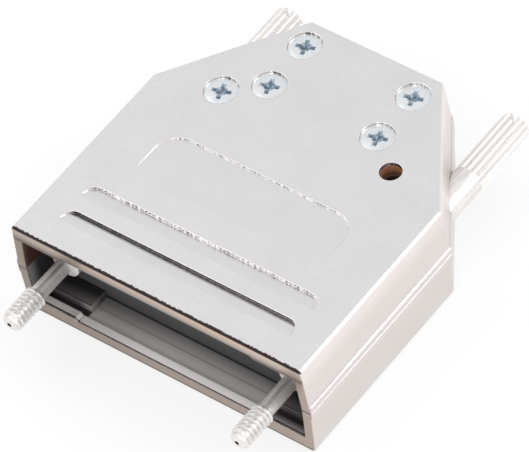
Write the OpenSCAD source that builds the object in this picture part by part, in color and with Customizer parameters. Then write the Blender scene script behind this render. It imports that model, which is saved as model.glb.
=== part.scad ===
// Two-part cast metal hood for a 15-way D-sub connector, with two captive jackscrews.
// X runs across the hood, Y from the connector opening towards the cable, Z through the two shells.
// The origin is the centre of the connector opening: the front face is at y = 0, and the shells part
// at z = 0, where the jackscrews' axes lie too.

/* [Hood] */
// Width across the front, at the broad faces
hood_w = 42.2; // [41.8:0.1:46]
// Length from the front face to the rear face
hood_l = 43.95; // [42.8:0.05:50]
// Height over both broad faces
hood_h = 14.7; // [14.5:0.1:17]
// Length of the parallel sides, before the shoulders slope in
side_l = 27.5; // [26.5:0.1:28.5]
// Width of the rear face
rear_w = 19.4; // [19.4:0.1:22]
// Thickness of the broad walls
roof_t = 1.05; // [0.8:0.05:1.2]
// Thickness of the rear wall, round the cable
rear_t = 2.4; // [1.6:0.1:2.6]
// How far each side wall leans out, from its broad face to the parting line
draft = 0.35; // [0.1:0.05:0.5]
// Radius of the long outer edges
edge_r = 0.6; // [0.4:0.05:0.8]
// Radius of the edges round the front face
front_edge_r = 0.25; // [0.15:0.05:0.35]
// Height of the raised bead on each shell, along the parting line
bead_h = 1.05; // [0.8:0.05:1.3]
// How far the bead stands proud of the side walls
bead_out = 0.12; // [0.08:0.01:0.15]

/* [Connector opening] */
// Width of the connector's flange
flange_w = 39.14; // [38.9:0.01:39.3]
// Height of the connector's flange
flange_h = 12.5; // [12.2:0.05:12.5]
// Width of the slot that takes the flange
flange_slot = 1.25; // [1.1:0.05:1.4]
// Depth of the lip in front of the flange
lip_depth = 1.25; // [1:0.05:1.4]
// Height of the lip at its two ends
lip_end_h = 2.1; // [1.9:0.05:2.3]
// Height of the lip between its ends
lip_mid_h = 1.75; // [1.5:0.05:1.8]
// Width of the lip's lower stretch
window_w = 27.2; // [26.4:0.1:27.6]
// Place of the cross rib that backs the connector's body
rib_y = 5.35; // [5:0.05:5.6]
// Thickness of the cross rib
rib_t = 1; // [0.8:0.1:1.3]
// Height of the cross rib
rib_h = 2.6; // [1.5:0.1:3]

/* [Top face] */
// Depth of the two finger grooves at the rear edge, where they are deepest
groove_depth = 0.35; // [0.1:0.05:0.5]
// Length of a groove, across the hood
groove_l = 33.6; // [25:0.1:38]
// Width of a groove
groove_w = 2; // [1.6:0.1:3]
// Place of the first groove's front edge
groove_front_y = 3.8; // [2:0.1:4]
// Distance from one groove to the next
groove_pitch = 4.25; // [3.5:0.05:4.5]
// Depth of the plain sunk panel at its rear edge
panel_depth = 0.18; // [0.05:0.01:0.3]
// Length of the panel, across the hood
panel_l = 27.6; // [16:0.1:34]
// Width of the panel, along the hood
panel_w = 7.5; // [6.2:0.1:8.5]
// Place of the panel's front edge
panel_front_y = 13.8; // [13:0.1:14.5]

/* [Jackscrews] */
// Distance between the two jackscrews
jack_spacing = 33.32; // [33.2:0.01:33.5]
// Major diameter of the thread
thread_d = 2.84; // [2.5:0.01:3]
// Diameter of the relieved shank
shank_d = 2.04; // [1.8:0.01:2.2]
// Diameter of the thick plain part and of the fluted end
body_d = 3.9; // [3.4:0.05:4]
// How far the tip stands out of the front face
tip_out = 7.65; // [6:0.05:8]
// Length of the thread with its tip
thread_l = 5; // [3.5:0.05:5.3]
// Distance of the shoulder behind the front face
shoulder_y = 3; // [2.9:0.05:3.4]
// Length of the fluted end
flute_l = 9.95; // [6:0.05:10.5]
// How far the fluted end starts ahead of the rear face
flute_in = 6; // [4:0.05:6.3]
// Number of flutes
flute_count = 16; // [10:1:16]
// Depth of a flute
flute_depth = 0.3; // [0.15:0.05:0.4]
// Width of the screwdriver slot
slot_w = 0.9; // [0.6:0.1:1.2]
// Depth of the screwdriver slot
slot_depth = 1.1; // [0.6:0.1:1.5]
// Running clearance round a jackscrew, on the radius
run_gap = 0.08; // [0.04:0.01:0.1]

/* [Retaining rings] */
// Outer diameter of a ring
ring_d = 4.9; // [4.7:0.1:5.1]
// Thickness of a ring
ring_t = 0.6; // [0.5:0.05:0.8]
// Diameter of the groove that a ring sits in
groove_d = 2.9; // [2.7:0.1:3]
// How far a jackscrew goes forward from rest
travel_forward = 0.5; // [0.3:0.1:0.5]
// How far a jackscrew goes back from rest
travel_back = 5.5; // [3:0.1:6]
// Length of a guide that carries a jackscrew
guide_l = 1.85; // [1.4:0.05:2.2]

/* [Cover screws] */
// Distance between the left and right cover screws
cover_spacing = 15.86; // [15.2:0.02:16.2]
// Distance of the rear pair from the rear face
cover_rear_in = 3.75; // [3.4:0.05:3.9]
// Distance from the rear pair to the middle pair
cover_pitch_y = 7.15; // [6.4:0.05:8]
// Distance of the side screws from the middle of the hood
side_screw_x = 12.4; // [11.6:0.1:12.4]
// How far the side screws stand behind the start of the shoulders
side_screw_back = 2; // [1.5:0.1:2.5]
// Diameter of a screw's thread
screw_d = 2.5; // [2:0.1:2.5]
// Diameter of a screw's head
head_d = 4.16; // [3.8:0.02:4.2]
// Height of a screw's head
head_h = 1.25; // [1:0.05:1.4]
// How far a screw's head lies below the broad face
head_sink = 0.2; // [0.05:0.05:0.25]
// Gap between a screw's tip and the bottom of its hole
tip_gap = 0.95; // [0.3:0.05:2]
// Clearance between a head and its recess, on the radius
recess_gap = 0.07; // [0.05:0.01:0.2]
// Depth of the cross recess in a head
cross_depth = 0.9; // [0.5:0.1:1]
// Wall round a screw's hole
boss_wall = 0.75; // [0.6:0.05:0.8]

/* [Cable] */
// Diameter of the cable exit
exit_d = 8.8; // [7:0.1:10]
// Diameter of the largest cable the clamp takes
clamp_d = 7.4; // [5:0.1:7.6]
// Place of the cable clamp
clamp_y = 23; // [20:0.1:24]
// Width of the clamp's straps, along the cable
strap_w = 4.4; // [3.6:0.1:5]
// Thickness of the straps
strap_t = 1; // [0.8:0.1:1.2]
// Gap between the two straps' ears
strap_gap = 1.2; // [0.8:0.1:1.6]
// Distance between the clamp's screws
clamp_spacing = 14.4; // [14.2:0.1:15.4]
// Diameter of the clamp screws
clamp_screw_d = 2.5; // [2:0.1:2.5]

/* [Hidden] */
$fn = 48;
hull_fn = 32;
past = 1;               // how far a cutter runs past the face it opens
fit_gap = 0.02;         // between a thread and its hole, on the radius
axial_gap = 0.05;       // on each side of a ring in its groove
stop_gap = 0.1;         // left between a ring and a guide at the end of its travel
ring_side_gap = 0.31;   // between a ring and the wall beside the wires
flange_gap = 0.05;      // above the flange, in its slot
flange_side_gap = 0.33; // beside the flange
seam_bevel = 0.06;      // on the edge where the shells meet
mouth_extra = 0.12;     // how much wider a through hole opens at its mouth

half_w = hood_w / 2;
half_h = hood_h / 2;
inner_w = flange_w / 2 + flange_side_gap;
wall_t = half_w - inner_w;
inner_h = half_h - roof_t;
blind_h = inner_h - 0.6;            // depth of a blind hole, from the parting plane
rear_in_y = hood_l - rear_t;
slope_a = atan2(half_w - rear_w / 2, hood_l - side_l);
slot_rear_y = lip_depth + flange_slot;
lip_step = lip_end_h - lip_mid_h;

jack_x = jack_spacing / 2;
bore_r = body_d / 2 + run_gap;
guide_front_y = rib_y;
guide_back_y = guide_front_y + guide_l;
ring_y = guide_back_y + stop_gap + travel_forward;
rear_guide_y = ring_y + ring_t + travel_back + stop_gap;
flute_y = hood_l - flute_in;
jack_end_y = flute_y + flute_l;
tip_round = 1;
end_bevel = 0.45;
flute_r = 0.36;
end_wall_x = window_w / 2 - 0.3;    // inner end of the flange's two end ledges
divider_t = 0.9;                    // wall between the wires and a jackscrew
divider_x = jack_x - ring_d / 2 - ring_side_gap - divider_t;
divider_end_y = 25.5;

cover_x = cover_spacing / 2;
cover_rear_y = hood_l - cover_rear_in;
cover_mid_y = cover_rear_y - cover_pitch_y;
side_screw_y = side_l + side_screw_back;
boss_r = screw_d / 2 + boss_wall;
recess_r = head_d / 2 + recess_gap;
recess_floor = half_h - head_h - head_sink;
screw_l = recess_floor + blind_h - tip_gap;
hole_r = screw_d / 2 + 0.15;
tapped_r = screw_d / 2 + fit_gap;
collar_r = recess_r + 0.45;
collar_h = 1.1;

ear_bottom = strap_gap / 2 + strap_t;
clamp_x = clamp_spacing / 2;
clamp_boss_r = clamp_screw_d / 2 + boss_wall;
ear_end_x = clamp_x + clamp_boss_r;
clamp_head_d = 4;
clamp_head_h = 1.3;
panel_r = 3;

// Distance of a side wall's inner face from the middle, at a height over the parting plane.
function inner_x(z) = inner_w + draft * (1 - z / inner_h);

// Corners of the plan on the right-hand side, moved out by o: front, shoulder and rear.
function corner_x(i, o) = [half_w + o, half_w + o, rear_w / 2 + o * tan(45 - slope_a / 2)][i];
function corner_y(i, o) = [0, side_l + o * tan(slope_a / 2), hood_l + o][i];
function plan(o) = [for (side = [1, -1], i = side > 0 ? [0, 1, 2] : [2, 1, 0])
                    [side * corner_x(i, o), corner_y(i, o)]];

// The cover screws' places, and which broad face each goes in from.
rear_left = [-cover_x, cover_rear_y];
rear_right = [cover_x, cover_rear_y];
mid_left = [-cover_x, cover_mid_y];
mid_right = [cover_x, cover_mid_y];
side_left = [-side_screw_x, side_screw_y];
side_right = [side_screw_x, side_screw_y];
from_above = [rear_left, rear_right, mid_left, mid_right, side_left];

// Turns children that stand along Z so that they lie along Y.
module along_y(x, y) translate([x, y, 0]) rotate([-90, 0, 0]) children();

// Children on the right-hand side, and mirrored to the left.
module both_sides() {
    children();
    mirror([1, 0, 0]) children();
}

// ---- The outside of a half shell, standing on the parting plane ----

module dome(r) rotate_extrude($fn = hull_fn)
    polygon([[0, 0], for (a = [0:15:90]) r * [cos(a), sin(a)]]);

// A disc along Y whose front rim is rounded: the front end of a long outer edge.
module edge_end() rotate([-90, 0, 0]) rotate_extrude($fn = hull_fn)
    polygon([[0, 0], for (a = [-90:15:0])
             [edge_r - front_edge_r + front_edge_r * cos(a), front_edge_r + front_edge_r * sin(a)],
             [0, front_edge_r]]);

// The plan moved out by o, as posts from z0 to z1 with round corners, for a hull.
module posts(o, z0, z1) both_sides() {
    translate([corner_x(0, o) - front_edge_r, front_edge_r, z0])
        cylinder(r = front_edge_r, h = z1 - z0, $fn = hull_fn);
    for (i = [1, 2]) translate([corner_x(i, o - edge_r), corner_y(i, o - edge_r), z0])
        cylinder(r = edge_r, h = z1 - z0, $fn = hull_fn);
}

module half_block() hull() {
    posts(draft, 0, 0.1);
    both_sides() {
        translate([half_w - edge_r, 0, half_h - edge_r]) edge_end();
        for (i = [1, 2]) translate([corner_x(i, -edge_r), corner_y(i, -edge_r), half_h - edge_r])
            dome(edge_r);
    }
}

module bead() hull() {
    posts(draft + bead_out - seam_bevel, 0, seam_bevel / 2);
    posts(draft + bead_out, seam_bevel, bead_h - bead_out);
    posts(draft, bead_h - bead_out / 2, bead_h);
}

// ---- The inside of a half shell ----

// The opening in the front face, lower between the lip's two ends.
module front_window() along_y(0, -past) linear_extrude(lip_depth + past + 0.01)
    for (side = [-1, 1]) polygon([[0, past], [side * inner_x(0), past], [side * inner_x(0), 0],
        [side * inner_x(half_h - lip_end_h), lip_end_h - half_h],
        [side * (window_w / 2 + lip_step), lip_end_h - half_h],
        [side * window_w / 2, lip_mid_h - half_h], [0, lip_mid_h - half_h]]);

module cavity() {
    intersection() {
        union() {
            translate([0, 0, -past]) linear_extrude(past + 0.01) polygon(plan(draft - wall_t));
            hull() {
                linear_extrude(0.01) polygon(plan(draft - wall_t));
                translate([0, 0, inner_h - 0.01]) linear_extrude(0.01) polygon(plan(-wall_t));
            }
        }
        translate([-half_w, lip_depth, -past]) cube([hood_w, rear_in_y - lip_depth, hood_h]);
    }
    translate([-inner_w, lip_depth, -past])
        cube([2 * inner_w, flange_slot, flange_h / 2 + flange_gap + past]);
}

// A boss from the roof to the parting plane, with a collar where a head may be let in.
module screw_boss(place) translate(place) {
    cylinder(r = boss_r, h = inner_h + 0.1);
    translate([0, 0, inner_h - collar_h]) cylinder(r = collar_r, h = collar_h + 0.1);
}

module jackscrew_guides() both_sides() {
    for (y = [guide_front_y, rear_guide_y]) translate([divider_x, y, 0])
        cube([inner_x(0) - divider_x + 0.1, guide_l, inner_h + 0.1]);
    translate([divider_x, guide_back_y - 0.1, 0])
        cube([divider_t, divider_end_y - guide_back_y, inner_h + 0.1]);
}

module flange_ledges() both_sides()
    translate([end_wall_x, slot_rear_y, half_h - lip_end_h])
        cube([inner_x(0) - end_wall_x + 0.1, rib_y - slot_rear_y + 0.1, lip_end_h - roof_t + 0.1]);

module cross_rib() translate([-divider_x, rib_y, inner_h - rib_h])
    cube([2 * divider_x, rib_t, rib_h + 0.1]);

// Holds the cable between the middle and rear cover screws.
module cable_rib() {
    rib_w = 2 * cover_x;
    translate([-rib_w / 2, (cover_mid_y + cover_rear_y - rib_t) / 2, 0])
        cube([rib_w, rib_t, inner_h + 0.1]);
}

module cable_way() along_y(0, cover_mid_y) cylinder(d = exit_d, h = hood_l - cover_mid_y + past);

module jackscrew_bores() both_sides()
    along_y(jack_x, guide_front_y - past) cylinder(r = bore_r, h = hood_l - guide_front_y);

// A recess for a head and a clearance hole, from the parting plane out.
module head_hole(place) translate(place) {
    translate([0, 0, -past]) cylinder(r = hole_r, h = half_h + 2 * past);
    translate([0, 0, recess_floor]) cylinder(r = recess_r, h = half_h);
}

// A tapped hole that ends inside the roof.
module blind_hole(place) translate([place.x, place.y, -past])
    cylinder(r = tapped_r, h = blind_h + past);

// A tapped hole that opens through the broad face.
module open_hole(place) translate(place) {
    translate([0, 0, -past]) cylinder(r = tapped_r, h = half_h);
    translate([0, 0, inner_h - collar_h]) cylinder(r = tapped_r + mouth_extra, h = half_h);
}

module half_shell() difference() {
    union() {
        difference() {
            union() {
                half_block();
                bead();
            }
            cavity();
            front_window();
        }
        jackscrew_guides();
        flange_ledges();
        cross_rib();
        cable_rib();
        for (place = concat(from_above, [side_right])) screw_boss(place);
    }
    cable_way();
    jackscrew_bores();
}

// A recess sunk into the top from its front edge at y, deepest at its rear edge, where its corners
// are round.
module ramp_recess(y, size, depth, corner) translate([0, y, half_h]) intersection() {
    translate([0, 0, -past]) linear_extrude(2 * past) hull() for (side = [-1, 1]) {
        translate([side * (size.x / 2 - corner), size.y - corner]) circle(r = corner, $fn = hull_fn);
        translate([side * (size.x / 2 - 0.1), 0.1]) circle(r = 0.1, $fn = hull_fn);
    }
    rotate([90, 0, 90]) linear_extrude(size.x + past, center = true)
        polygon([[-past, 0], [0, 0], [size.y + past, -depth * (1 + past / size.y)],
                 [size.y + past, past], [-past, past]]);
}

module upper_shell() color("gainsboro") difference() {
    half_shell();
    for (place = from_above) head_hole(place);
    open_hole(side_right);
    for (i = [0, 1]) ramp_recess(groove_front_y + i * groove_pitch, [groove_l, groove_w],
                                 groove_depth, groove_w * 0.75);
    ramp_recess(panel_front_y, [panel_l, panel_w], panel_depth, panel_r);
}

// The lower shell is the same casting turned over, with the clamp's bosses.
module lower_shell() color("silver") mirror([0, 0, 1]) difference() {
    union() {
        half_shell();
        both_sides() translate([clamp_x, clamp_y, ear_bottom])
            cylinder(r = clamp_boss_r, h = inner_h - ear_bottom + 0.1);
    }
    for (place = [rear_left, rear_right, mid_left, mid_right]) blind_hole(place);
    open_hole(side_left);
    head_hole(side_right);
    both_sides() translate([clamp_x, clamp_y, 0])
        cylinder(d = clamp_screw_d + 2 * fit_gap, h = inner_h - 0.5);
}

// ---- Screws ----

module cross_recess(size, depth) for (turn = [0, 90]) rotate(turn)
    translate([-size / 2, -size / 8, -depth]) cube([size, size / 4, depth + past]);

// A screw whose head's seat is at z = 0 and whose thread goes down.
module flat_screw(head, head_height, thread, length) difference() {
    union() {
        cylinder(d = head, h = head_height);
        translate([0, 0, -length + 0.4]) cylinder(d = thread, h = length);
        translate([0, 0, -length]) cylinder(d1 = thread - 0.8, d2 = thread, h = 0.4);
    }
    translate([0, 0, head_height]) rotate(45) cross_recess(head * 0.58, cross_depth);
}

module cover_screw(place) translate([place.x, place.y, recess_floor])
    flat_screw(head_d, head_h, screw_d, screw_l);

module clamp_screw(side) translate([side * clamp_x, clamp_y, ear_bottom])
    flat_screw(clamp_head_d, clamp_head_h, clamp_screw_d, ear_bottom + inner_h - 0.7);

module cover_screw_rear_left() color("lightsteelblue") cover_screw(rear_left);
module cover_screw_rear_right() color("lightsteelblue") cover_screw(rear_right);
module cover_screw_mid_left() color("lightsteelblue") cover_screw(mid_left);
module cover_screw_mid_right() color("lightsteelblue") cover_screw(mid_right);
module cover_screw_side_left() color("lightsteelblue") cover_screw(side_left);
module cover_screw_side_right() color("lightsteelblue") mirror([0, 0, 1]) cover_screw(side_right);
module clamp_screw_left() color("lightsteelblue") clamp_screw(-1);
module clamp_screw_right() color("lightsteelblue") clamp_screw(1);

// ---- Jackscrews ----

// Half the turned outline, as radius against distance from the front face.
function jack_profile() = [
    [0, -tip_out],
    for (a = [0:22.5:90]) [thread_d / 2 - tip_round + tip_round * sin(a),
                           -tip_out + tip_round - tip_round * cos(a)],
    [thread_d / 2, thread_l - tip_out],
    [shank_d / 2, thread_l - tip_out + 0.2],
    [shank_d / 2, shoulder_y],
    [body_d / 2 - 0.1, shoulder_y], [body_d / 2, shoulder_y + 0.1],
    [body_d / 2, ring_y - axial_gap], [groove_d / 2, ring_y - axial_gap],
    [groove_d / 2, ring_y + ring_t + axial_gap], [body_d / 2, ring_y + ring_t + axial_gap],
    [body_d / 2, jack_end_y - end_bevel], [body_d / 2 - end_bevel, jack_end_y], [0, jack_end_y]];

module jackscrew(side) color("whitesmoke") along_y(side * jack_x, 0) difference() {
    rotate_extrude() polygon(jack_profile());
    for (i = [0:flute_count - 1]) rotate(360 * (i + 0.5) / flute_count)
        translate([body_d / 2 + flute_r - flute_depth, 0, flute_y])
            cylinder(r = flute_r, h = flute_l + past, $fn = 16);
    translate([-slot_w / 2, -body_d, jack_end_y - slot_depth])
        cube([slot_w, 2 * body_d, slot_depth + past]);
}

module jackscrew_left() jackscrew(-1);
module jackscrew_right() jackscrew(1);

// An open ring that is pushed onto its groove from the side.
module retaining_ring(side) color("gray") along_y(side * jack_x, ring_y) difference() {
    cylinder(d = ring_d, h = ring_t);
    translate([0, 0, -past]) cylinder(d = groove_d + 2 * axial_gap, h = ring_t + 2 * past);
    mouth = groove_d - 0.3;
    translate([-mouth / 2, 0, -past]) cube([mouth, ring_d, ring_t + 2 * past]);
}

module retaining_ring_left() retaining_ring(-1);
module retaining_ring_right() retaining_ring(1);

// ---- Cable clamp ----

// A strap that dips round the cable between two ears, below the parting plane.
module clamp_saddle() difference() {
    translate([0, clamp_y + strap_w / 2, 0]) rotate([90, 0, 0]) linear_extrude(strap_w)
        difference() {
            union() {
                circle(d = clamp_d + 2 * strap_t);
                translate([-ear_end_x, -ear_bottom]) square([2 * ear_end_x, strap_t]);
            }
            circle(d = clamp_d);
            translate([-hood_w, -strap_gap / 2]) square([2 * hood_w, hood_w]);
        }
    both_sides() translate([clamp_x, clamp_y, -hood_h])
        cylinder(r = clamp_screw_d / 2 + 0.1, h = 2 * hood_h);
}

module clamp_saddle_lower() color("darkgray") clamp_saddle();
module clamp_saddle_upper() color("darkgray") mirror([0, 0, 1]) clamp_saddle();

lower_shell();
upper_shell();
cover_screw_rear_left();
cover_screw_rear_right();
cover_screw_mid_left();
cover_screw_mid_right();
cover_screw_side_left();
cover_screw_side_right();
jackscrew_left();
jackscrew_right();
retaining_ring_left();
retaining_ring_right();
clamp_saddle_lower();
clamp_saddle_upper();
clamp_screw_left();
clamp_screw_right();
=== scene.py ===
"""Looks for the D-sub hood: camera, soft studio light, procedural metals and threaded jackscrews.

Everything is in metres in the row frame: X across the hood, Y from the connector opening to the
cable, Z through the two shells. MM turns the sizes below, which are in millimetres, into metres.
"""

import math

import bmesh
import bpy
from mathutils import Matrix, Vector


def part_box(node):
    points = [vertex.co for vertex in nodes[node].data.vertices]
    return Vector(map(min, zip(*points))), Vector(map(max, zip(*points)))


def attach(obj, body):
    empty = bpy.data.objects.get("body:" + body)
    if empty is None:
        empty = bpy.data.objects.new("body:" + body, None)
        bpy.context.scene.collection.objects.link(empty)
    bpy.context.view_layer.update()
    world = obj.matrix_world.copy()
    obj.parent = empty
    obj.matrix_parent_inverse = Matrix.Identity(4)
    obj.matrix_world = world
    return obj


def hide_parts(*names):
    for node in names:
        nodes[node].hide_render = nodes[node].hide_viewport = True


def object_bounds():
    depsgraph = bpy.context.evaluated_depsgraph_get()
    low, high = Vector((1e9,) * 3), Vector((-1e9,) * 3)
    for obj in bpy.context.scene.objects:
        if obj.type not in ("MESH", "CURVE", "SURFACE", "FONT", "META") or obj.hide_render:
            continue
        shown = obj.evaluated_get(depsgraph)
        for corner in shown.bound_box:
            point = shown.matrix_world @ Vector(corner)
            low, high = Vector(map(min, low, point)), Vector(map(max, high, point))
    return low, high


MM = 0.001


def add_object(name, data):
    obj = bpy.data.objects.new(name, data)
    bpy.context.scene.collection.objects.link(obj)
    return obj


# ---------------------------------------------------------------- camera

FRAME_W = 529                           # the picture's width and the focal length, in pixels
FOCAL_PX = 5331.6
CAM_POS = Vector((288.445, -267.786, 472.529)) * MM
CAM_RIGHT = Vector((0.7952598, 0.5934350, -0.1240835))
CAM_DOWN = Vector((0.3923449, -0.6597869, -0.6408952))
CAM_FORWARD = Vector((-0.4621984, 0.4609947, -0.7575332))


def make_camera():
    data = bpy.data.cameras.new("camera")
    data.sensor_fit = "HORIZONTAL"
    data.sensor_width = 36.0
    data.lens = FOCAL_PX / FRAME_W * data.sensor_width
    data.clip_start = 0.05
    data.clip_end = 10.0
    camera = add_object("camera", data)
    turn = Matrix((CAM_RIGHT, -CAM_DOWN, -CAM_FORWARD)).transposed()
    camera.matrix_world = Matrix.Translation(CAM_POS) @ turn.to_4x4()
    bpy.context.scene.camera = camera


make_camera()
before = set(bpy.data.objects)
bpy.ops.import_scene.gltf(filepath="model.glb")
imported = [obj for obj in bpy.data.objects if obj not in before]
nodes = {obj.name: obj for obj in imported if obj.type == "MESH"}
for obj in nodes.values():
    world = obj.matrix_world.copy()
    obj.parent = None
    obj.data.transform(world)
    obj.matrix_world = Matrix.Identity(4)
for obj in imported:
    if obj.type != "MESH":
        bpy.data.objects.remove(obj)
cad_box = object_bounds()


# ---------------------------------------------------------------- node helpers


class Tree:
    """Short calls for building a node tree.

    A value is a number, a tuple or another node's socket.
    """

    def __init__(self, tree):
        self.tree = tree
        tree.nodes.clear()

    def put(self, socket, value):
        if isinstance(value, bpy.types.NodeSocket):
            self.tree.links.new(value, socket)
        elif value is not None:
            if socket.type == "RGBA" and len(value) == 3:
                value = (*value, 1.0)
            socket.default_value = value

    def new(self, kind, settings=None, **inputs):
        made = self.tree.nodes.new(kind)
        for name, value in (settings or {}).items():
            setattr(made, name, value)
        for name, value in inputs.items():
            self.put(made.inputs[name.replace("_", " ")], value)
        return made

    def math(self, op, a, b=None, c=None, clamp=False):
        made = self.new("ShaderNodeMath", {"operation": op, "use_clamp": clamp})
        for socket, value in zip(made.inputs, (a, b, c)):
            self.put(socket, value)
        return made.outputs[0]

    def vector(self, op, a, b=None, scale=None):
        made = self.new("ShaderNodeVectorMath", {"operation": op})
        self.put(made.inputs[0], a)
        self.put(made.inputs[1], b)
        if scale is not None:
            self.put(made.inputs["Scale"], scale)
        return made.outputs[0]

    def mix(self, share, a, b, kind="MIX"):
        made = self.new("ShaderNodeMix", {"data_type": "RGBA", "blend_type": kind})
        self.put(made.inputs["Factor"], share)
        self.put(made.inputs[6], a)
        self.put(made.inputs[7], b)
        return made.outputs[2]

    def all_of(self, *shares):
        """The product of several masks."""
        product = shares[0]
        for share in shares[1:]:
            product = self.math("MULTIPLY", product, share)
        return product

    def span(self, value, low, high, to_low=0.0, to_high=1.0, smooth=True):
        """value from low..high to to_low..to_high, held at the ends."""
        settings = {"interpolation_type": "SMOOTHSTEP" if smooth else "LINEAR"}
        made = self.new("ShaderNodeMapRange", settings)
        for name, number in (("Value", value), ("From Min", low), ("From Max", high),
                             ("To Min", to_low), ("To Max", to_high)):
            self.put(made.inputs[name], number)
        return made.outputs[0]

    def noise(self, at, scale, detail=3.0, roughness=0.5):
        made = self.new("ShaderNodeTexNoise", Vector=at, Scale=scale, Detail=detail,
                        Roughness=roughness)
        return made.outputs[0]

    def scaled(self, colour, factor):
        """The colour with all three channels times factor."""
        grey = self.new("ShaderNodeCombineXYZ", X=factor, Y=factor, Z=factor)
        return self.mix(1.0, colour, grey.outputs[0], "MULTIPLY")

    def seen_directly(self):
        """1 for camera, mirror and see-through rays, 0 for the light that falls on things."""
        rays = self.new("ShaderNodeLightPath").outputs
        return self.math("MAXIMUM", rays["Is Camera Ray"],
                         self.math("MAXIMUM", rays["Is Glossy Ray"], rays["Is Transmission Ray"]))


def metal(name):
    """A metallic material: its tree, its shader and the place in millimetres."""
    material = bpy.data.materials.new(name)
    material.use_nodes = True
    tree = Tree(material.node_tree)
    out = tree.new("ShaderNodeOutputMaterial")
    shader = tree.new("ShaderNodeBsdfPrincipled")
    tree.put(out.inputs["Surface"], shader.outputs[0])
    shader.inputs["Metallic"].default_value = 1.0
    place = tree.new("ShaderNodeTexCoord").outputs["Object"]
    place = tree.vector("SCALE", place, scale=1000.0)
    return material, tree, shader, place


def split(tree, vector):
    return tree.new("ShaderNodeSeparateXYZ", Vector=vector).outputs[:3]


def split_normal(tree):
    return split(tree, tree.new("ShaderNodeNewGeometry").outputs["Normal"])


def bump_up(tree, shader, strength, distance, height, normal=None):
    """Fine relief; distance is in millimetres."""
    bump = tree.new("ShaderNodeBump", Strength=strength, Distance=distance * MM, Height=height,
                    Normal=normal)
    tree.put(shader.inputs["Normal"], bump.outputs[0])


# ---------------------------------------------------------------- materials

# The castings' sloping shoulders in plan: where one starts, in millimetres, and its outward normal.
SHOULDER_X, SHOULDER_Y = 21.2, 27.5
SHOULDER_NX, SHOULDER_NY = 0.822, 0.57
SCREW_X = 16.66                         # the jackscrews' axes, in millimetres


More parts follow.
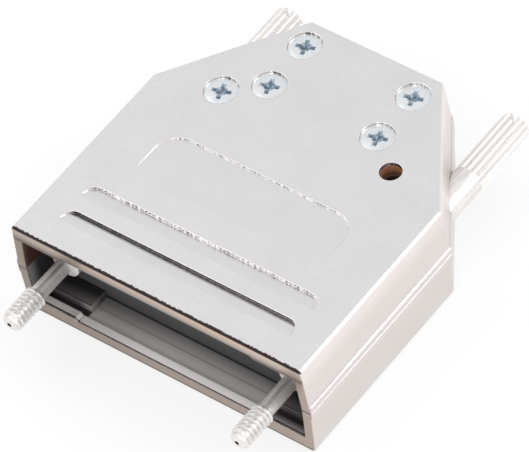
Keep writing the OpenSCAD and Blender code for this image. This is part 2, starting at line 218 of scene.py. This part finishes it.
def cast_nickel():
    """Satin nickel on a die casting: pale outside, a front rim browned as a painted reflection, and
    an inside painted dark as shade.

    The lengths in the spans of x, y and z are millimetres in the row frame.
    """
    material, t, shader, place = metal("cast_nickel")
    x, y, z = split(t, place)
    nx, ny, nz = split_normal(t)
    ax, az = t.math("ABSOLUTE", x), t.math("ABSOLUTE", z)

    lo, hi = (v * 1000 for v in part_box("upper_shell"))
    half_w, half_h, length = hi.x, hi.z, hi.y
    # How deep a point lies under the outer faces.
    under_side = t.math("SUBTRACT", half_w, ax)
    under_shoulder = t.math("MULTIPLY_ADD", t.math("SUBTRACT", ax, SHOULDER_X), -SHOULDER_NX,
                            t.math("MULTIPLY", t.math("SUBTRACT", y, SHOULDER_Y), -SHOULDER_NY))
    under_top = t.math("SUBTRACT", half_h, az)
    under_rear = t.math("SUBTRACT", length, y)
    deep = t.math("MINIMUM", t.math("MINIMUM", under_side, under_shoulder),
                  t.math("MINIMUM", under_top, under_rear))
    deep = t.math("MINIMUM", deep, t.math("ADD", y, 0.35))
    inside = t.span(deep, 0.52, 0.62)

    grain = t.noise(t.vector("MULTIPLY", place, (1.0, 3.2, 3.2)), 1.6, 4.0, 0.62)
    blotch = t.noise(place, 0.16, 3.0, 0.5)
    fine = t.noise(place, 9.0, 2.0, 0.5)
    rough = t.noise(place, 2.6, 3.0, 0.7)

    # Outside: neutral on the broad faces; the walls warmer, and lighter than the broad faces as
    # painted light; the front faces browner as a painted reflection of a darker ground.
    broad = t.span(t.math("ABSOLUTE", nz), 0.6, 0.95)
    # The walls grow lighter towards the top edge: a painted highlight.
    outer = t.mix(t.span(z, 4.0, 6.6), (0.765, 0.712, 0.692), (0.86, 0.80, 0.775))
    outer = t.mix(broad, outer, (0.688, 0.676, 0.683))
    # The lower walls are darker and warmer: a painted reflection of the floor.
    lower = t.all_of(t.span(z, -1.0, -1.6), t.math("SUBTRACT", 1.0, broad))
    outer = t.mix(lower, outer, (0.725, 0.683, 0.658))
    front = t.all_of(t.span(ny, -0.55, -0.9), t.span(y, 0.6, 0.3))
    # The front faces' brown is a painted reflection of a darker ground: lighter towards the top,
    # darker in a band near the upper rim's lower edge, and lighter towards +x as painted light.
    rim = t.mix(t.span(z, 5.5, 6.9), (0.34, 0.278, 0.236), (0.54, 0.445, 0.375))
    rim = t.mix(t.all_of(t.span(z, 5.9, 5.5), t.span(z, 5.0, 5.3)), rim, (0.17, 0.14, 0.12))
    painted_light_across_x = t.span(x, -20.0, 20.0, 0.92, 1.3, smooth=False)
    rim = t.scaled(rim, painted_light_across_x)
    rim = t.mix(t.span(az, 0.13, 0.05), rim, (0.03, 0.024, 0.02))
    outer = t.mix(front, outer, rim)
    # A dark line along the rounded top front edge, made ragged by noise: a painted reflection.
    edge_y = t.math("MULTIPLY_ADD", rough, -0.5, t.math("ADD", y, 0.27))
    painted_dark_edge = t.all_of(t.span(edge_y, 0.34, 0.24), t.span(az, half_h - 0.5, half_h - 0.25))
    outer = t.mix(painted_dark_edge, outer, (0.035, 0.03, 0.028))
    # The rear walls of the sunk shapes, painted dark as shade, and a painted shadow line on the
    # broad face at their feet, broken up by paler patches and paler towards +x.
    sunk = t.all_of(t.span(ny, -0.5, -0.9), t.span(y, 0.7, 1.0))
    foot = t.all_of(t.span(az, half_h - 0.22, half_h - 0.29), broad, t.span(y, 7.0, 6.5))
    patchy = t.math("ADD", t.span(rough, 0.3, 0.72, 0.0, 0.2), t.span(x, -16.0, 16.0, 0.0, 0.1))
    patchy = t.math("ADD", patchy, t.all_of(t.span(y, 7.0, 9.0), t.span(rough, 0.4, 0.6)),
                    clamp=True)
    outer = t.mix(t.math("MAXIMUM", sunk, t.math("MULTIPLY", foot, 0.85)), outer,
                  t.mix(patchy, (0.02, 0.017, 0.016), (0.9, 0.85, 0.82)))

    # Inside: painted shade, darker with depth and towards the left end; brown over the parting
    # line.
    floor = t.span(nz, 0.6, 0.9)
    # The floor: pale near the opening, fading into painted shade with depth, and darker towards the
    # left end.
    floor_painted_light = t.mix(t.span(y, 0.6, 5.2, smooth=False),
                        (0.95, 0.90, 0.895), (0.20, 0.188, 0.188))
    floor_painted_light = t.mix(t.span(x, 0.0, -14.0), floor_painted_light,
                        t.mix(t.span(y, 1.2, 5.2), (0.66, 0.62, 0.61), (0.16, 0.15, 0.15)))
    # A thin line across the floor, then the ledges at the two ends of the opening, which fade into
    # painted shade with depth.
    fold = t.all_of(t.span(y, 3.3, 3.45), t.span(y, 3.7, 3.5))
    floor_painted_light = t.mix(t.math("MULTIPLY", fold, 0.4), floor_painted_light, (0.1, 0.09, 0.09))
    end = t.span(ax, 13.2, 13.5)
    lip_top = t.mix(t.span(x, 12.0, 14.0), (0.50, 0.485, 0.475),
                    t.mix(t.span(y, 0.2, 1.2), (0.30, 0.28, 0.28), (0.04, 0.037, 0.037)))
    # A dark line just behind the front rim: a painted shadow.
    lip_top = t.mix(t.span(y, 0.42, 0.3), lip_top, (0.05, 0.042, 0.04))
    # The slot's floor is painted dark as shadow.
    slot = t.all_of(t.span(y, 1.2, 1.3), t.span(y, 2.6, 2.4))
    ledge = t.mix(t.span(ax, 13.2, 16.5), (0.17, 0.15, 0.15), (0.10, 0.09, 0.09))
    ledge = t.mix(t.span(y, 2.5, 4.6), ledge, (0.012, 0.011, 0.011))
    # A painted shadow line along the ledges' top front edge.
    ledge = t.mix(t.span(y, 2.72, 2.6), ledge, (0.02, 0.018, 0.018))
    end_painted_shade = t.mix(t.span(y, 2.4, 2.5), t.mix(slot, lip_top, (0.02, 0.017, 0.016)), ledge)
    floor_painted_light = t.mix(end, floor_painted_light, end_painted_shade)
    # The walls, the faces of the cross rib and of the ledges, the lip's step, the ledges' ends, all
    # with painted light and shade.
    # The walls fade into painted shade with depth; the upper ones are brown.
    low_wall = t.mix(t.span(y, 0.3, 2.2), (0.26, 0.25, 0.26), (0.03, 0.028, 0.03))
    high_wall = t.mix(t.span(y, 0.1, 1.2), (0.12, 0.052, 0.032), (0.05, 0.016, 0.008))
    wall_painted_shade = t.mix(t.span(z, -0.15, 0.15), low_wall, high_wall)
    # The rib's face is dark as painted shade, and nearly black at its foot as a painted contact
    # shadow.
    rib_face = t.mix(t.span(z, -6.0, -6.2), (0.07, 0.072, 0.072), (0.004, 0.004, 0.004))
    # The ledges' faces grow lighter towards the opening's middle: painted light.
    ledge_face = t.mix(t.span(ax, 15.5, 13.8), (0.13, 0.118, 0.118), (0.34, 0.31, 0.305))
    rib_face = t.mix(t.span(y, 4.0, 3.0), rib_face, ledge_face)
    rib_painted_light = t.mix(t.span(ny, -0.6, -0.9), wall_painted_shade, rib_face)
    # The lip's step: a painted highlight.
    step = t.all_of(t.span(y, 1.35, 1.25), t.span(nz, 0.45, 0.6), t.span(z, 0.0, -1.0))
    rib_painted_light = t.mix(step, rib_painted_light, (0.95, 0.91, 0.9))
    # The ledges' ends: painted light, fading into painted shade with depth.
    ledge_end = t.all_of(t.span(t.math("ABSOLUTE", nx), 0.7, 0.9), t.span(ax, 13.6, 13.5),
                         t.span(y, 5.3, 5.1), t.span(z, 0.0, -1.0))
    rib_painted_light = t.mix(ledge_end, rib_painted_light, t.mix(t.span(y, 2.5, 4.5), (0.36, 0.33, 0.33),
                                                  (0.06, 0.055, 0.055)))
    inner = t.mix(floor, rib_painted_light, floor_painted_light)
    # A painted contact shadow at the foot of the cross rib, painted shade in the room behind it,
    # and the open screw holes.
    inner = t.mix(t.all_of(t.span(y, 5.1, 5.3), t.span(y, 5.6, 5.45), floor), inner,
                  (0.006, 0.005, 0.005))
    inner = t.mix(t.span(y, 5.6, 8.5), inner, (0.035, 0.026, 0.02))
    hole = t.all_of(t.span(under_top, 3.0, 1.0), t.span(y, 25.0, 26.0))
    inner = t.mix(hole, inner, (0.42, 0.2, 0.1))
    colour = t.mix(inside, outer, inner)

    tone = t.span(t.math("MULTIPLY_ADD", blotch, 0.6, t.math("MULTIPLY", grain, 0.4)),
                  0.3, 0.7, 0.965, 1.03, smooth=False)
    colour = t.scaled(colour, tone)
    t.put(shader.inputs["Base Color"], colour)
    t.put(shader.inputs["Metallic"], t.span(inside, 0.0, 1.0, 1.0, 0.08, smooth=False))
    satin = t.span(grain, 0.3, 0.7, 0.27, 0.4, smooth=False)
    t.put(shader.inputs["Roughness"], t.math("MULTIPLY_ADD", inside, 0.18, satin))

    bevel = t.new("ShaderNodeBevel", {"samples": 6}, Radius=0.18 * MM)
    height = t.math("MULTIPLY_ADD", fine, 0.25, grain)
    bump_up(t, shader, 0.32, 0.012, height, bevel.outputs[0])
    return material


def bright_nickel():
    """Turned and plated steel: pale, with fine lines round the axis and a few grey streaks."""
    material, t, shader, place = metal("bright_nickel")
    x, y, z = split(t, place)
    nx, _, nz = split_normal(t)
    lathe = t.noise(t.new("ShaderNodeCombineXYZ", X=0.0, Y=y, Z=0.0).outputs[0], 9.0, 4.0, 0.6)
    streak = t.noise(t.vector("MULTIPLY", place, (3.2, 0.25, 3.2)), 1.0, 3.0, 0.55)
    colour = t.mix(t.span(streak, 0.35, 0.7), (0.81, 0.785, 0.77), (0.68, 0.655, 0.64))
    # A dark line along the top of the turned screws, a painted reflection, and their dark centre
    # marks.
    facing = t.math("ADD", t.math("MULTIPLY", nx, 0.24), t.math("MULTIPLY", nz, 0.97))
    line = t.all_of(t.span(facing, 0.97, 0.995), t.span(y, 4.0, 2.0))
    colour = t.mix(t.math("MULTIPLY", line, t.span(streak, 0.3, 0.6, 0.3, 0.75)), colour,
                   (0.30, 0.275, 0.265))
    aside = t.math("SUBTRACT", t.math("ABSOLUTE", x), SCREW_X)
    around = t.math("SQRT", t.math("ADD", t.all_of(aside, aside), t.all_of(z, z)))
    mark = t.all_of(t.span(around, 0.32, 0.28), t.span(y, -6.9, -7.2))
    colour = t.mix(mark, colour, (0.012, 0.008, 0.007))
    t.put(shader.inputs["Base Color"], colour)
    shader.inputs["Metallic"].default_value = 0.45
    t.put(shader.inputs["Roughness"], t.span(lathe, 0.3, 0.7, 0.24, 0.36, smooth=False))
    height = t.math("MULTIPLY_ADD", t.noise(place, 5.0, 3.0), 0.5, lathe)
    bump_up(t, shader, 0.25, 0.012, height)
    return material


def blue_zinc():
    """Zinc-plated screws: silver heads, with the plating bluer in the cross, which is also darker
    as painted shade.
    """
    material, t, shader, place = metal("blue_zinc")
    spots = t.noise(place, 2.2, 4.0, 0.6)
    lumps = t.noise(place, 3.4, 3.0, 0.65)
    pale = t.mix(t.span(spots, 0.35, 0.7), (0.72, 0.745, 0.765), (0.64, 0.67, 0.695))
    az = t.math("ABSOLUTE", split(t, place)[2])
    # The cross recesses lie in this band of heights, above and below the parting plane.
    deep = t.all_of(t.span(az, 7.1, 7.0), t.span(az, 5.2, 5.7))
    # In the cross: bluer plating, darkened as painted shade.
    bluer = t.mix(t.span(lumps, 0.4, 0.6), (0.60, 0.68, 0.74), (0.22, 0.31, 0.38))
    colour = t.mix(deep, pale, bluer)
    t.put(shader.inputs["Base Color"], colour)
    t.put(shader.inputs["Metallic"], t.span(deep, 0.0, 1.0, 0.85, 0.25, smooth=False))
    t.put(shader.inputs["Roughness"], t.span(spots, 0.3, 0.7, 0.26, 0.4, smooth=False))
    bump_up(t, shader, 0.3, 0.03, t.noise(place, 4.0, 4.0))
    return material


def spring_steel():
    """Oil-hardened strip for the rings: dark grey, slightly mottled."""
    material, t, shader, place = metal("spring_steel")
    spots = t.noise(place, 1.8, 4.0, 0.6)
    t.put(shader.inputs["Base Color"], t.mix(spots, (0.42, 0.41, 0.41), (0.26, 0.25, 0.25)))
    t.put(shader.inputs["Roughness"], t.span(spots, 0.3, 0.7, 0.28, 0.42, smooth=False))
    bump_up(t, shader, 0.3, 0.01, t.noise(place, 6.0, 3.0))
    return material


CAST, BRIGHT, ZINC, SPRING = cast_nickel(), bright_nickel(), blue_zinc(), spring_steel()


def dress(obj, material):
    if not obj.material_slots:
        obj.data.materials.append(material)
    for place in obj.material_slots:
        place.material = material


for name, obj in nodes.items():
    if name.endswith("_shell"):
        dress(obj, CAST)
    elif "ring" in name:
        dress(obj, SPRING)
    elif name.startswith(("jackscrew", "clamp_saddle")):
        dress(obj, BRIGHT)
    else:
        dress(obj, ZINC)


# ---------------------------------------------------------------- jackscrews

# Lengths and radii are in millimetres.
JACK_SEGMENTS = 96
JACK_PITCH, JACK_THREAD_DEPTH = 0.635, 0.36
JACK_THREAD_L = 5.0
JACK_MAJOR, JACK_SHANK, JACK_BODY, JACK_GROOVE = 1.42, 1.02, 1.95, 1.45
JACK_SHOULDER_Y = 3.0
THREAD_STEPS = 66
NOSE, TIP_R = 1.0, 0.42                 # the rounded end's length, and the radius it starts from
FLUTES, FLUTED_L = 16, 9.95
SLOT_W, SLOT_DEPTH = 0.9, 1.1
SHARP_DEGREES = 40


def smooth(a, b, v):
    s = min(max((v - a) / (b - a), 0.0), 1.0)
    return s * s * (3 - 2 * s)


def thread_depth(y, angle, start, end, pitch, depth):
    """Depth of a helical thread's groove under its crest."""
    turn = (y / pitch - angle / (2 * math.pi)) % 1.0
    wave = min(max((abs(2 * turn - 1) - 0.16) / 0.66, 0.0), 1.0)
    ends = smooth(start, start + 0.8 * pitch, y) * smooth(end, end - 0.9 * pitch, y)
    return depth * ends * (wave * wave * (3 - 2 * wave))


def flute_radius(angle, outer, depth=0.3, width=0.36):
    """Radius where round-bottomed flutes run along the end."""
    pitch = 2 * math.pi / FLUTES
    off = (angle + pitch / 2) % pitch - pitch / 2
    off = pitch / 2 - abs(off)              # angle from the nearest flute's middle
    centre = outer + width - depth
    inner = width ** 2 - (centre * math.sin(off)) ** 2
    if inner <= 0:
        return outer
    return min(outer, centre * math.cos(off) - math.sqrt(inner))


def jackscrew_rows(front, back):
    """(y, radius function) from the tip to the slotted end, in millimetres."""
    rows = []
    thread_end = front + JACK_THREAD_L
    shank, body, groove = JACK_SHANK, JACK_BODY, JACK_GROOVE

    def plain(y, r):
        rows.append((y, lambda a: r))

    def threaded(y, r):
        def radius(a):
            depth = thread_depth(y, a, front + 0.25, thread_end + 0.1,
                                 JACK_PITCH, JACK_THREAD_DEPTH)
            return max(r - depth, 0.35)
        rows.append((y, radius))

    plain(front + 0.34, 0.0)                # the lathe's centre mark
    plain(front + 0.30, 0.2)
    plain(front + 0.03, 0.28)
    plain(front, 0.32)
    for i in range(10):
        a = math.radians(10 * i)
        threaded(front + NOSE * (1 - math.cos(a)), TIP_R + (JACK_MAJOR - TIP_R) * math.sin(a))
    for i in range(1, THREAD_STEPS + 1):
        threaded(front + NOSE + (thread_end - front - NOSE) * i / THREAD_STEPS, JACK_MAJOR)
    for y, r in ((0.16, shank + 0.08), (0.26, shank), (0.32, shank)):
        plain(thread_end + y, r)
    for y, r in ((-0.15, shank), (-0.05, shank), (0.0, shank + 0.05),
                 (0.0, body - 0.1), (0.03, body - 0.03), (0.1, body), (0.2, body)):
        plain(JACK_SHOULDER_Y + y, r)
    lo, hi = (v * 1000 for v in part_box("retaining_ring_left"))
    for y, r in ((lo.y - 0.08, body), (lo.y - 0.05, body - 0.03), (lo.y - 0.05, groove),
                 (hi.y + 0.05, groove), (hi.y + 0.05, body - 0.03), (hi.y + 0.08, body)):
        plain(y, r)
    flute_y = back - FLUTED_L
    plain(flute_y - 0.02, body)
    for y, drop in ((flute_y, 0.0), (back - 0.45, 0.0), (back - 0.3, 0.06), (back - 0.1, 0.24),
                    (back, 0.42)):
        rows.append((y, lambda a, drop=drop: min(flute_radius(a, body), body - drop)))
    plain(back, 0.0)
    return rows


def skin(made, rings, segments):
    """Faces between neighbouring rings of vertices; a ring of one vertex closes an end."""
    for lower, upper in zip(rings, rings[1:]):
        for i in range(segments):
            j = (i + 1) % segments
            corners = [lower[i % len(lower)], lower[j % len(lower)],
                       upper[j % len(upper)], upper[i % len(upper)]]
            made.faces.new(list(dict.fromkeys(corners)))
    bmesh.ops.recalc_face_normals(made, faces=made.faces)


def revolve(name, rows, segments, at):
    """A closed skin round the Y axis through at, from rows of (y, radius function)."""
    made = bmesh.new()
    rings = []
    for y, radius in rows:
        if radius(0.0) < 1e-9:
            rings.append([made.verts.new((0, y * MM, 0))])
        else:
            rings.append([made.verts.new((math.sin(a) * radius(a) * MM, y * MM,
                                          math.cos(a) * radius(a) * MM))
                          for a in (2 * math.pi * i / segments for i in range(segments))])
    skin(made, rings, segments)
    return finish_mesh(name, made, at)


def shade_smooth(data):
    """Smooth faces, with edges over SHARP_DEGREES kept crisp."""
    for face in data.polygons:
        face.use_smooth = True
    data.set_sharp_from_angle(angle=math.radians(SHARP_DEGREES))


def finish_mesh(name, made, at):
    data = bpy.data.meshes.new(name)
    made.to_mesh(data)
    made.free()
    data.transform(Matrix.Translation(at))
    shade_smooth(data)
    return add_object(name, data)


def box_mesh(lo, hi):
    made = bmesh.new()
    bmesh.ops.create_cube(made, size=1.0)
    size, middle = hi - lo, (hi + lo) / 2
    bmesh.ops.scale(made, vec=size, verts=made.verts)
    bmesh.ops.translate(made, vec=middle, verts=made.verts)
    return made


def cut_away(obj, cutter):
    """Boolean difference, applied to the mesh; the cutter goes."""
    change = obj.modifiers.new("cut", "BOOLEAN")
    change.operation = "DIFFERENCE"
    change.solver = "EXACT"
    change.use_self = True
    change.object = cutter
    bpy.context.view_layer.update()
    evaluated = obj.evaluated_get(bpy.context.evaluated_depsgraph_get())
    data = bpy.data.meshes.new_from_object(evaluated)
    obj.modifiers.clear()
    obj.data = data
    bpy.data.objects.remove(cutter)
    shade_smooth(data)


def make_jackscrew(side):
    node = f"jackscrew_{side}"
    lo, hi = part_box(node)
    axis = Vector(((lo.x + hi.x) / 2, 0, (lo.z + hi.z) / 2))
    front, back = lo.y * 1000, hi.y * 1000
    screw = revolve(f"{side}_jackscrew", jackscrew_rows(front, back), JACK_SEGMENTS, axis)
    # The slot's cutter reaches past the screw at both sides and behind it.
    slot = box_mesh(Vector((-SLOT_W / 2, back - SLOT_DEPTH, -3)) * MM,
                    Vector((SLOT_W / 2, back + 1, 3)) * MM)
    cut_away(screw, finish_mesh("slot", slot, axis))
    dress(screw, BRIGHT)
    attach(screw, f"{side}_screw")
    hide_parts(node)


for side in ("left", "right"):
    make_jackscrew(side)


# ---------------------------------------------------------------- cover and clamp screws

# Millimetres, apart from the turns.
COVER_HEAD_D, COVER_HEAD_H = 4.28, 1.25
CLAMP_HEAD_D, CLAMP_HEAD_H = 4.0, 1.3
SMALL_THREAD_D, SMALL_PITCH, SMALL_THREAD_DEPTH = 2.5, 0.45, 0.24
SMALL_SEGMENTS = 48
THREAD_STEP = 0.075
CROSS_SHARE, CROSS_DEPTH = 0.61, 0.8    # the cross's width as a share of the head's, and its depth
# How far each cross is turned, in degrees.
COVER_TURNS = {"rear_left": 17, "rear_right": 14, "mid_left": 16, "mid_right": 15,
               "side_left": 16, "side_right": 40}
CLAMP_TURNS = {"left": 20, "right": 70}


def cross_cutter(size, depth, top):
    """A cross recess with wide wings that narrow to the bottom, and a blunt star between them."""
    made = bmesh.new()
    # Each bar's half width, half length and depth.
    wing = (0.29, size / 2, depth)
    star = (0.2, size * 0.31, depth * 0.6)
    for turn, (w, l, d) in ((0, wing), (90, wing), (45, star), (135, star)):
        verts = []
        for z, k in ((top + 0.2, 1.06), (top - d, 0.62)):
            ring = [(-l, -w), (l, -w), (l, w), (-l, w)]
            verts.append([made.verts.new((x * k, y * k, z)) for x, y in ring])
        high, low = verts
        made.faces.new(high)
        made.faces.new(low[::-1])
        for i in range(4):
            j = (i + 1) % 4
            made.faces.new((high[i], low[i], low[j], high[j]))
        bmesh.ops.rotate(made, verts=low + high, cent=(0, 0, 0),
                         matrix=Matrix.Rotation(math.radians(turn), 3, "Z"))
    bmesh.ops.recalc_face_normals(made, faces=made.faces)
    return made


def flat_screw_mesh(name, head_d, head_h, thread_d, length):
    """A threaded screw with a cross in its flat head: the seat at z = 0, the thread below it."""
    r, t = head_d / 2, thread_d / 2
    rows = [(-length, 0.0), (-length, t - 0.4), (-length + 0.4, t - 0.02)]
    steps = int((length - 0.8) / THREAD_STEP)
    rows += [(-length + 0.4 + (length - 0.8) * i / steps, None) for i in range(steps + 1)]
    rows += [(-0.3, t - 0.05), (0.0, t - 0.05), (0.0, r - 0.06), (0.06, r), (head_h - 0.06, r),
             (head_h - 0.02, r - 0.015), (head_h, r - 0.06), (head_h, 0.0)]
    made = bmesh.new()
    rings = []
    for z, radius in rows:
        if radius == 0.0:
            rings.append([made.verts.new((0, 0, z))])
            continue
        ring = []
        for i in range(SMALL_SEGMENTS):
            a = 2 * math.pi * i / SMALL_SEGMENTS
            r_here = radius
            if radius is None:          # a threaded row
                r_here = t - thread_depth(z, a, -length + 0.2, -0.25,
                                          SMALL_PITCH, SMALL_THREAD_DEPTH)
            ring.append(made.verts.new((r_here * math.cos(a), r_here * math.sin(a), z)))
        rings.append(ring)
    skin(made, rings, SMALL_SEGMENTS)
    screw = finish_mesh(name, made, Vector())
    cross = cross_cutter(head_d * CROSS_SHARE, CROSS_DEPTH, head_h)
    cut_away(screw, finish_mesh("cross", cross, Vector()))
    data = screw.data
    bpy.data.objects.remove(screw)
    return data


def place_flat_screw(node, source, head_h, turn, up=1):
    """A copy of the screw mesh on its node's axis, its head up, or down where up is -1."""
    lo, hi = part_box(node)
    seat = hi.z - head_h * MM if up > 0 else lo.z + head_h * MM
    flip = Matrix.Rotation(0 if up > 0 else math.pi, 4, "X")
    place = Matrix.Translation(((lo.x + hi.x) / 2, (lo.y + hi.y) / 2, seat)) @ flip \
        @ Matrix.Rotation(math.radians(turn), 4, "Z") @ Matrix.Scale(MM, 4)
    data = source.copy()
    data.transform(place)
    screw = add_object(f"{node}_detailed", data)
    dress(screw, ZINC)
    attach(screw, "hood")
    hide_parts(node)


def node_height(node):
    lo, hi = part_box(node)
    return (hi.z - lo.z) / MM


cover_mesh = flat_screw_mesh("cover_screw", COVER_HEAD_D, COVER_HEAD_H, SMALL_THREAD_D,
                             node_height("cover_screw_mid_left") - COVER_HEAD_H)
for place, turn in COVER_TURNS.items():
    up = -1 if place == "side_right" else 1
    place_flat_screw(f"cover_screw_{place}", cover_mesh, COVER_HEAD_H, turn, up)
clamp_mesh = flat_screw_mesh("clamp_screw", CLAMP_HEAD_D, CLAMP_HEAD_H, SMALL_THREAD_D,
                             node_height("clamp_screw_left") - CLAMP_HEAD_H)
for side, turn in CLAMP_TURNS.items():
    place_flat_screw(f"clamp_screw_{side}", clamp_mesh, CLAMP_HEAD_H, turn)


# ---------------------------------------------------------------- floor, world and lamps

FLOOR_SIZE = 0.9
FLOOR_DROP = 0.00002                    # the floor's distance under the part
FLOOR_WHITE = 0.72                      # how much of the floor's look is plain white
LAMP_TARGET = Vector((0, 0.022, 0))


def make_floor():
    made = bmesh.new()
    bmesh.ops.create_grid(made, x_segments=1, y_segments=1, size=FLOOR_SIZE)
    floor = finish_mesh("floor", made, Vector((0, 0.02, cad_box[0].z - FLOOR_DROP)))
    material = bpy.data.materials.new("floor")
    material.use_nodes = True
    t = Tree(material.node_tree)
    out = t.new("ShaderNodeOutputMaterial")
    plain = t.new("ShaderNodeBsdfDiffuse", Color=(0.93, 0.93, 0.93))
    white = t.new("ShaderNodeEmission", Color=(1.0, 1.0, 1.0), Strength=1.0)
    mixed = t.new("ShaderNodeMixShader", Fac=t.math("MULTIPLY", t.seen_directly(), FLOOR_WHITE))
    t.put(mixed.inputs[1], plain.outputs[0])
    t.put(mixed.inputs[2], white.outputs[0])
    t.put(out.inputs["Surface"], mixed.outputs[0])
    floor.data.materials.append(material)


def make_world():
    world = bpy.data.worlds.new("studio")
    bpy.context.scene.world = world
    world.use_nodes = True
    t = Tree(world.node_tree)
    out = t.new("ShaderNodeOutputWorld")
    soft = t.new("ShaderNodeBackground", Color=(1.0, 0.995, 0.99), Strength=0.8)
    white = t.new("ShaderNodeBackground", Color=(1.0, 1.0, 1.0), Strength=1.0)
    mixed = t.new("ShaderNodeMixShader", Fac=t.seen_directly())
    t.put(mixed.inputs[1], soft.outputs[0])
    t.put(mixed.inputs[2], white.outputs[0])
    t.put(out.inputs["Surface"], mixed.outputs[0])


def lamp(name, at, size, energy):
    data = bpy.data.lights.new(name, "AREA")
    data.shape = "RECTANGLE"
    data.size, data.size_y = size
    data.energy = energy
    obj = add_object(name, data)
    obj.location = at
    obj.rotation_euler = (LAMP_TARGET - Vector(at)).to_track_quat("-Z", "Y").to_euler()


make_floor()
make_world()
lamp("softbox_right", (0.42, 0.30, 0.32), (0.16, 0.40), 1.1)
lamp("softbox_left", (-0.35, -0.10, 0.45), (0.40, 0.40), 0.8)
lamp("softbox_front", (0.22, -0.50, 0.26), (0.35, 0.35), 1.0)

bpy.context.scene.view_settings.view_transform = "Standard"
